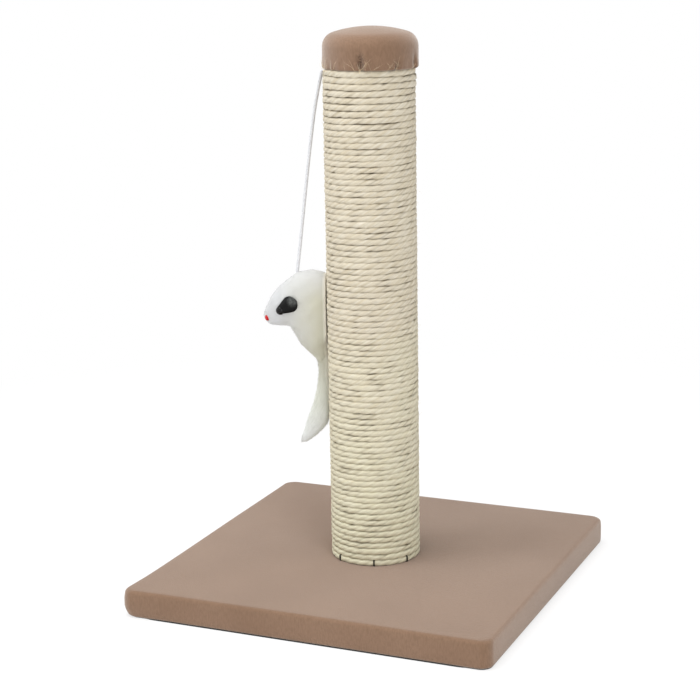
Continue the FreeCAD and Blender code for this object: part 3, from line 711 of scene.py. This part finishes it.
print("stage: cap cover and padding")
capLow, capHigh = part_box("cap_cover")
capLook = {"dome": 15.4, "shoulder": 11.5, "under": 1.8, "hemOpening": 28.2, "cloth": 1.9, "flat": 132,
           # each crease: angle from the photo's side, depth, height, lean in degrees for each mm up, darkness
           # of its painted shade
           "creases": [(-11, 1.9, 19, -0.2, 1.0), (31, 1.2, 9, 0.3, 0.8), (66, 1.6, 15, -0.2, 0.6),
                       (102, 1.2, 12, 0, 0.3), (140, 1.5, 13, 0, 0.4), (176, 1.1, 11, 0, 0.3),
                       (-142, 1.4, 13, 0, 0.4), (-98, 1.1, 12, 0, 0.3), (-58, 0.6, 8, 0.2, 0.3)],
           "creaseWidth": 2.3, "creaseWider": 0.08,  # degrees at the foot, and more for each mm up
           "ripples": 0.22, "bulge": 0.9, "padInset": 2.1, "padGap": 0.2,
           "shift": (1.2, 0.5, 0)}  # the cap sits a little off the axis


def arc(x, y, radius, turns):
    return [(x + radius * math.cos(turn), y + radius * math.sin(turn)) for turn in turns]


def capOutline(inset):  # radius and height, from the shoulder's foot to the crown
    dome, shoulder = capLook["dome"], capLook["shoulder"]
    reach, top = capHigh.x / mm - shoulder, capHigh.z / mm
    crown = (reach ** 2 + dome ** 2 - shoulder ** 2) / (2 * (dome - shoulder))  # radius of the crown's arc
    meet = math.pi / 2 - math.asin(reach / (crown - shoulder))
    outline = arc(reach, top - dome, shoulder - inset, np.linspace(0, meet, 10))
    return outline + arc(0, top - crown, crown - inset, np.linspace(meet, math.pi / 2 - 0.012, 14)[1:])


def capRing(radius, height, turns):
    return levelLoop(np.column_stack([radius * np.cos(turns), radius * np.sin(turns)]), height)


def capCreases(turns, up):  # how far the cloth folds in or out at one height, and how much painted shade lies in its creases there
    bend, shade = np.zeros(len(turns)), np.zeros(len(turns))
    width = capLook["creaseWidth"] + up * capLook["creaseWider"]
    for degrees, depth, tall, lean, dark in capLook["creases"]:
        middle = math.radians(photoSide + degrees + lean * up)
        off = np.degrees(np.angle(np.exp(1j * (turns - middle))))
        fade = float(smooth(1.25 - 1.25 * up / tall))
        bend += (0.55 * depth * bell(off - 2.2 * width, 1.6 * width) - depth * bell(off, width)) * fade
        # painted shade along each crease, with a faint wider band round it
        shade += dark * fade * (0.9 * bell(off, width) + 0.25 * bell(off, 4 * width))
    ripples = np.sin(turns * 23 + 2 * np.sin(turns * 3)) * float(smooth(1 - up / 12))
    return bend + capLook["ripples"] * ripples, np.clip(shade, 0, 1)


def makeCapCover():
    radius, foot, under = capHigh.x / mm, capLow.z / mm, capLook["under"]
    profile = [(capLook["hemOpening"], foot), (radius - under - 4, foot)]
    profile += [(radius - under + under * math.sin(turn), foot + under - under * math.cos(turn))
                for turn in np.radians(np.arange(0, 91, 22.5))]
    shoulder = capOutline(0)
    rise = shoulder[0][1] - foot - under
    profile += [(radius, foot + under + rise * share) for share in (0.15, 0.3, 0.45, 0.6, 0.75, 0.9)]
    turns = wholeTurn(180)
    rings, shades = [], []
    for reach, height in profile + shoulder:
        bend, shade = capCreases(turns, height - foot)
        outside = reach > 30  # neither the hem nor the crown is creased
        rings.append(capRing(np.minimum(reach + bend * outside, radius + capLook["bulge"]), height, turns))
        shades.append(shade * outside)
    points, faces = openTube(np.array(rings) * mm, (0, 0, capHigh.z))
    points += np.array(capLook["shift"]) * mm
    cover = makePiece("capCover", points, faces, "stand", velour, "velour")
    # the creases' painted shade, which the velour reads
    pointValues(cover, "creaseShade", np.append(shades, 0))
    thicken(cover, capLook["cloth"] * mm)
    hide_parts("cap_cover")


def makeCapPadding():
    turns = wholeTurn(48)
    rings = np.array([capRing(radius - capLook["padGap"], height, turns)
                      for radius, height in capOutline(capLook["padInset"])])
    rings = rings * mm + np.array(capLook["shift"]) * mm
    padding = makePiece("capPadding", *closedTube(rings), "stand", foam, "foam")
    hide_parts("cap_pad")


makeCapPadding()
makeCapCover()

print("stage: mouse")
mouseLook = {
    # each row: the two ends of a cross-section in the toy's plane, and its half width across it
    "body": [((92.5, 219.8), (91.2, 215.8), 1.2), ((91.4, 223.2), (88.8, 213.2), 2.8),
             ((89.0, 228.2), (84.6, 211.7), 5.8), ((83.4, 237.8), (79.3, 211.4), 9.4),
             ((75.6, 246.0), (73.4, 211.6), 12.4), ((64.4, 253.8), (68.4, 210.8), 13.8),
             ((50.6, 258.2), (64.2, 203.8), 14.0), ((41.4, 254.2), (60.6, 197.8), 13.7),
             ((37.2, 245.4), (58.6, 195.4), 13.2), ((36.8, 223.0), (51.6, 189.0), 11.0),
             ((36.9, 199.6), (47.4, 184.6), 6.8), ((38.4, 184.0), (45.2, 178.4), 2.6)],
    "tail": [((36.9, 196.0), (47.2, 186.0), 4.2), ((37.2, 184.6), (46.2, 179.0), 3.7),
             ((37.2, 170.4), (46.2, 170.8), 3.4),
             ((37.3, 156.6), (48.3, 158.4), 3.5), ((37.8, 143.6), (51.4, 146.6), 3.7),
             ((39.6, 131.0), (56.0, 134.6), 3.7), ((48.0, 121.2), (59.4, 124.6), 3.0),
             ((56.4, 114.6), (62.2, 117.2), 2.0), ((60.6, 113.0), (62.4, 113.8), 0.8)],
    "fullness": 2.4, "eye": (73.7, 226.4), "eyeRadius": 3.6, "eyeFlat": 0.82, "eyeOut": 0.9,
    "nose": (87.8, 218.0, 3.2), "noseRadius": 2.8, "noseFlat": 0.9, "noseTilt": 0.2,
    "earPoint": (74.4, 226.4), "earRise": 31, "earFlare": 8, "earRound": 6.7, "earLength": 10.9,
    "earTip": 2.9, "earThick": 1.4, "earLift": 1.5, "earMiddle": (66.5, 231.5),
    # where the ear's painted sheen sits, how far it reaches and how pale it gets
    "sheenUp": 1.5, "sheenReach": 5.2, "sheenMost": 0.85,
    "leansOn": (37.1, 42, 49), "leastPressed": 0.12, "leansAbove": 194, "leansWithin": 12,
    "peakReach": 3.2, "peak": 1.8, "dents": (420, 390, 0.25),
    "bodyHairs": 7000, "tailHairs": 4000, "hairRadius": 0.06, "hairsOff": 36.9,
    "bareNose": 4.2, "bareEye": 4.0, "bareEar": 6.5}
sides = (-1, 1)


def throughRows(rows, finer):
    # a smooth run through the rows, each a tuple of numbers (Catmull-Rom)
    rows = np.array(rows, float)
    rows = np.concatenate([[2 * rows[0] - rows[1]], rows, [2 * rows[-1] - rows[-2]]])
    run = []
    for index in range(1, len(rows) - 2):
        before, here, there, after = rows[index - 1:index + 3]
        for share in np.arange(finer) / finer:
            run.append(0.5 * (2 * here + (there - before) * share
                              + (2 * before - 5 * here + 4 * there - after) * share ** 2
                              + (3 * here - before - 3 * there + after) * share ** 3))
    return np.array(run + [rows[-2]])


def furForm(sections, finer, around):
    rows = throughRows([(*first, *last, half) for first, last, half in sections], finer)
    turns = wholeTurn(around)
    out, rise = np.cos(turns), np.sin(turns)
    full = squarer(out, rise, mouseLook["fullness"])
    rings = []
    for row in rows:
        first, last = toyPoint(row[0], row[1]), toyPoint(row[2], row[3])
        centre, reach = (first + last) / 2, (last - first) / 2
        rings.append(np.array(centre) + np.outer(full * out, reach)
                     + np.outer(full * rise, sideways * row[4] * mm))
    return np.array(rings)


def combedHairs(name, rings, count, length, bare=()):
    # hairs that lie along the form, from its first ring to its last
    here, ahead = rings[:-1], rings[1:]
    quads = np.stack([here, np.roll(here, -1, 1), np.roll(ahead, -1, 1), ahead], 2).reshape(-1, 4, 3)
    normal = np.cross(quads[:, 2] - quads[:, 0], quads[:, 3] - quads[:, 1])
    area = np.linalg.norm(normal, axis=1)
    normal /= np.maximum(area, 1e-12)[:, None]
    centre = quads.mean(1)
    middle = np.repeat(rings[:-1].mean(1), rings.shape[1], 0)
    normal *= np.sign((normal * (centre - middle)).sum(1))[:, None]
    comb = (quads[:, 3] + quads[:, 2] - quads[:, 0] - quads[:, 1])
    comb /= np.maximum(np.linalg.norm(comb, axis=1), 1e-12)[:, None]
    picked = chance.choice(len(quads), count, p=area / area.sum())
    u, v = chance.random((2, count, 1))
    quad = quads[picked]
    roots = (quad[:, 0] * (1 - u) + quad[:, 1] * u) * (1 - v) + (quad[:, 3] * (1 - u) + quad[:, 2] * u) * v
    normal, comb = normal[picked], comb[picked] + chance.normal(0, 0.22, (count, 3))
    long = chance.uniform(*length, (count, 1)) * mm
    roots -= normal * 0.1 * mm
    bends = roots + (comb * 0.5 + normal * 0.1) * long
    tips = roots + (comb * 0.95 + normal * 0.12) * long
    clear = np.linalg.norm(tips[:, :2], axis=1) > mouseLook["hairsOff"] * mm
    clear &= np.linalg.norm(bends[:, :2], axis=1) > mouseLook["hairsOff"] * mm
    for spot, reach in bare:
        clear &= np.linalg.norm(roots - np.array(spot), axis=1) > reach * mm
    radius = mouseLook["hairRadius"] * mm
    hairs(name, roots[clear], bends[clear], tips[clear], radius, "mouse", fur, "white_fur")


def onHead(tree, place, side):  # where the head's surface is, on one side, at a place in the toy's plane
    start = toyPoint(*place, side * 40)
    return tree.ray_cast(start, -sideways * side)[0]


def bodyForm():
    rings = furForm(mouseLook["body"], 7, 56)
    rope, near, far = np.array(mouseLook["leansOn"]) * mm
    least = mouseLook["leastPressed"]
    reach = np.linalg.norm(rings[..., :2], axis=-1)
    pressed = least + (1 - least) * smooth((reach - near) / (far - near))  # soft, so flat against the rope
    above = rings[..., 2] - mouseLook["leansAbove"] * mm
    pressed = 1 + (pressed - 1) * smooth(above / (mouseLook["leansWithin"] * mm))
    rings[..., :2] *= ((rope + (reach - rope) * pressed) / reach)[..., None]
    away = np.linalg.norm(rings - np.array(toyPoint(*toyLook["route"][-1])), axis=-1)
    peak = bell(away, mouseLook["peakReach"] * mm)[..., None]  # where the cord is sewn in
    rings = rings + peak * np.array(upward) * mouseLook["peak"] * mm
    first, second, deep = mouseLook["dents"]
    dents = np.sin(rings[..., 2] * first) * np.sin(rings[..., 0] * second) * deep * mm
    return rings + dents[..., None] * np.array(sideways)


def makeMouse():
    rings = bodyForm()
    points, faces = closedTube(rings)
    body = makePiece("mouseBody", points, faces, "mouse", fur, "white_fur")
    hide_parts("mouse_body")
    tree = BVHTree.FromPolygons([Vector(point) for point in points], faces)
    tail = furForm(mouseLook["tail"], 6, 28)
    tailPiece = makePiece("mouseTail", *closedTube(tail), "mouse", fur, "white_fur")
    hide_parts("mouse_tail")
    bare = [(toyPoint(*mouseLook["nose"]), mouseLook["bareNose"])]  # eyes, ears and nose stay clear of hair
    for side in sides:
        bare.append((onHead(tree, mouseLook["eye"], side), mouseLook["bareEye"]))
        bare.append((onHead(tree, mouseLook["earMiddle"], side), mouseLook["bareEar"]))
    combedHairs("bodyFur", rings, mouseLook["bodyHairs"], (1.3, 2.2), bare)
    combedHairs("tailFur", tail, mouseLook["tailHairs"], (2.2, 3.6))
    return tree


def beadForm(centre, along, radius, flat):
    # a bead on a thread: round, a little flattened along its hole, with a dimple at each end
    along = Vector(along).normalized()
    side = along.orthogonal().normalized()
    other = along.cross(side)
    turns = wholeTurn(32)
    rings = []
    for angle in np.radians([-90, -82, -74, -62, -48, -32, -16, 0, 16, 32, 48, 62, 74, 82, 90]):
        reach = max(radius * math.cos(angle), radius * 0.05)
        dimple = math.copysign(radius * 0.12, angle) * (abs(angle) > math.radians(80))
        height = radius * flat * math.sin(angle) - dimple
        rings.append(np.array(centre) + np.outer(reach * np.cos(turns), side) * mm
                     + np.outer(reach * np.sin(turns), other) * mm + np.array(along) * height * mm)
    return closedTube(np.array(rings))


def earForm(tree, side):
    # a domed leaf with its narrow end on the head, under the eye
    rise, flare = math.radians(mouseLook["earRise"]), math.radians(mouseLook["earFlare"])
    level = outward * -math.cos(rise) + upward * math.sin(rise)
    along = level * math.cos(flare) + sideways * side * math.sin(flare)
    across = level.cross(sideways * side).normalized()
    normal = along.cross(across).normalized()
    if normal.dot(sideways * side) < 0:
        normal = -normal
    point = onHead(tree, mouseLook["earPoint"], side) + sideways * side * mouseLook["earLift"] * mm
    radius, length, half = mouseLook["earRound"], mouseLook["earLength"], mouseLook["earThick"] / 2
    small = mouseLook["earTip"]
    slope = math.asin((radius - small) / length)
    rings = []
    for share in np.concatenate([[0.02, 0.06], np.linspace(0.12, 0.94, 16), [0.965, 0.985, 0.995]]):
        x = (length + radius + small) * share - small
        if x < -small * math.sin(slope):
            wide = math.sqrt(max(small ** 2 - x ** 2, 0.01))
        elif x < length - radius * math.sin(slope):
            wide = (small + x * math.sin(slope)) / math.cos(slope)
        else:
            wide = math.sqrt(max(radius ** 2 - (x - length) ** 2, 0.01))
        thin = min(half, wide * 0.6)
        ring = []
        for turned in wholeTurn(24):
            over = math.cos(turned)
            bend = 0.8 * math.sin(share * math.pi) - 1.2 * share ** 4 - 1.6 * (over * wide / radius) ** 2
            ring.append(point + (along * x + across * wide * over
                                 + normal * (bend + thin * math.sin(turned))) * mm)
        rings.append(ring)
    return closedTube(np.array(rings))


def sheenMiddle(points):  # painted sheen: a leather ear drawn paler in its middle, raised a little
    middle = points[len(points) // 2:].mean(0) + np.array(upward) * mouseLook["sheenUp"] * mm
    away = np.linalg.norm(points - middle, axis=1) / (mouseLook["sheenReach"] * mm)
    return np.clip(1 - away ** 2, 0, 1) * mouseLook["sheenMost"]


def makeEars(tree):
    forms = [earForm(tree, side) for side in sides]
    ears = joined("mouseEars", forms, "mouse", leather, "black_leather")
    pointValues(ears, "earSheen", np.concatenate([sheenMiddle(points) for points, _ in forms]))
    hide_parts("mouse_ears")


def makeEyes(tree):
    forms = [beadForm(onHead(tree, mouseLook["eye"], side) + sideways * side * mouseLook["eyeOut"] * mm,
                      sideways * side, mouseLook["eyeRadius"], mouseLook["eyeFlat"]) for side in sides]
    eyes = joined("mouseEyes", forms, "mouse", blackGloss, "black_bead")
    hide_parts("mouse_eyes")


def makeNose():
    form = beadForm(toyPoint(*mouseLook["nose"]), outward + upward * mouseLook["noseTilt"],
                    mouseLook["noseRadius"], mouseLook["noseFlat"])
    nose = makePiece("mouseNose", *form, "mouse", redGloss, "red_bead")
    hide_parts("mouse_nose")


headTree = makeMouse()
makeEars(headTree)
makeEyes(headTree)
makeNose()

print("stage: floor and background")


def makeFloor():
    finish = Finish("paleFloor", Roughness=0.9, Specular_IOR_Level=0.0)
    place = finish.place()
    clouds = finish.noise(place, 3, 1)
    finish.feed("Base Color", finish.mix(clouds, paint(244, 244, 244), paint(246, 246, 246)))
    away = finish.node("ShaderNodeVectorMath", {"operation": "LENGTH"}, {0: place}, output=1)
    far = finish.spread(away, *lightLook["floorFade"])  # the far floor melts into the background
    near = lightLook["floorGlow"]
    seen = finish.node("ShaderNodeLightPath") * (far * (1 - near) + near)
    glow = finish.node("ShaderNodeEmission", values={"Color": (1, 1, 1, 1), "Strength": 1.0})
    plain = Wire(finish.tree, finish.shader.outputs[0])
    shown = finish.node("ShaderNodeMixShader", values={0: seen, 1: plain, 2: glow})
    join(finish.tree, finish.tree.nodes["Material Output"].inputs["Surface"], shown)
    mesh = bpy.data.meshes.new("floor")
    mesh.from_pydata([(-6, -6, 0), (6, -6, 0), (6, 6, 0), (-6, 6, 0)], [], [(0, 1, 2, 3)])
    mesh.materials.append(finish.material)
    addObject("floor", mesh)


def makeWorld():
    world = bpy.data.worlds.new("studio")
    world.use_nodes = True
    bpy.context.scene.world = world
    tree = world.node_tree
    background = tree.nodes["Background"]
    path = tree.nodes.new("ShaderNodeLightPath")
    rays = ("Is Camera Ray", "Is Glossy Ray", "Is Transmission Ray")
    straight, glossy, clear = (Wire(tree, path.outputs[ray]) for ray in rays)
    seen = (straight + glossy + clear).math("MINIMUM", 1.0)
    ambient = lightLook["ambient"]
    background.inputs["Color"].default_value = (1, 1, 1, 1)
    join(tree, background.inputs["Strength"], seen * (1 - ambient) + ambient)


makeFloor()
makeWorld()

print("stage: finished")
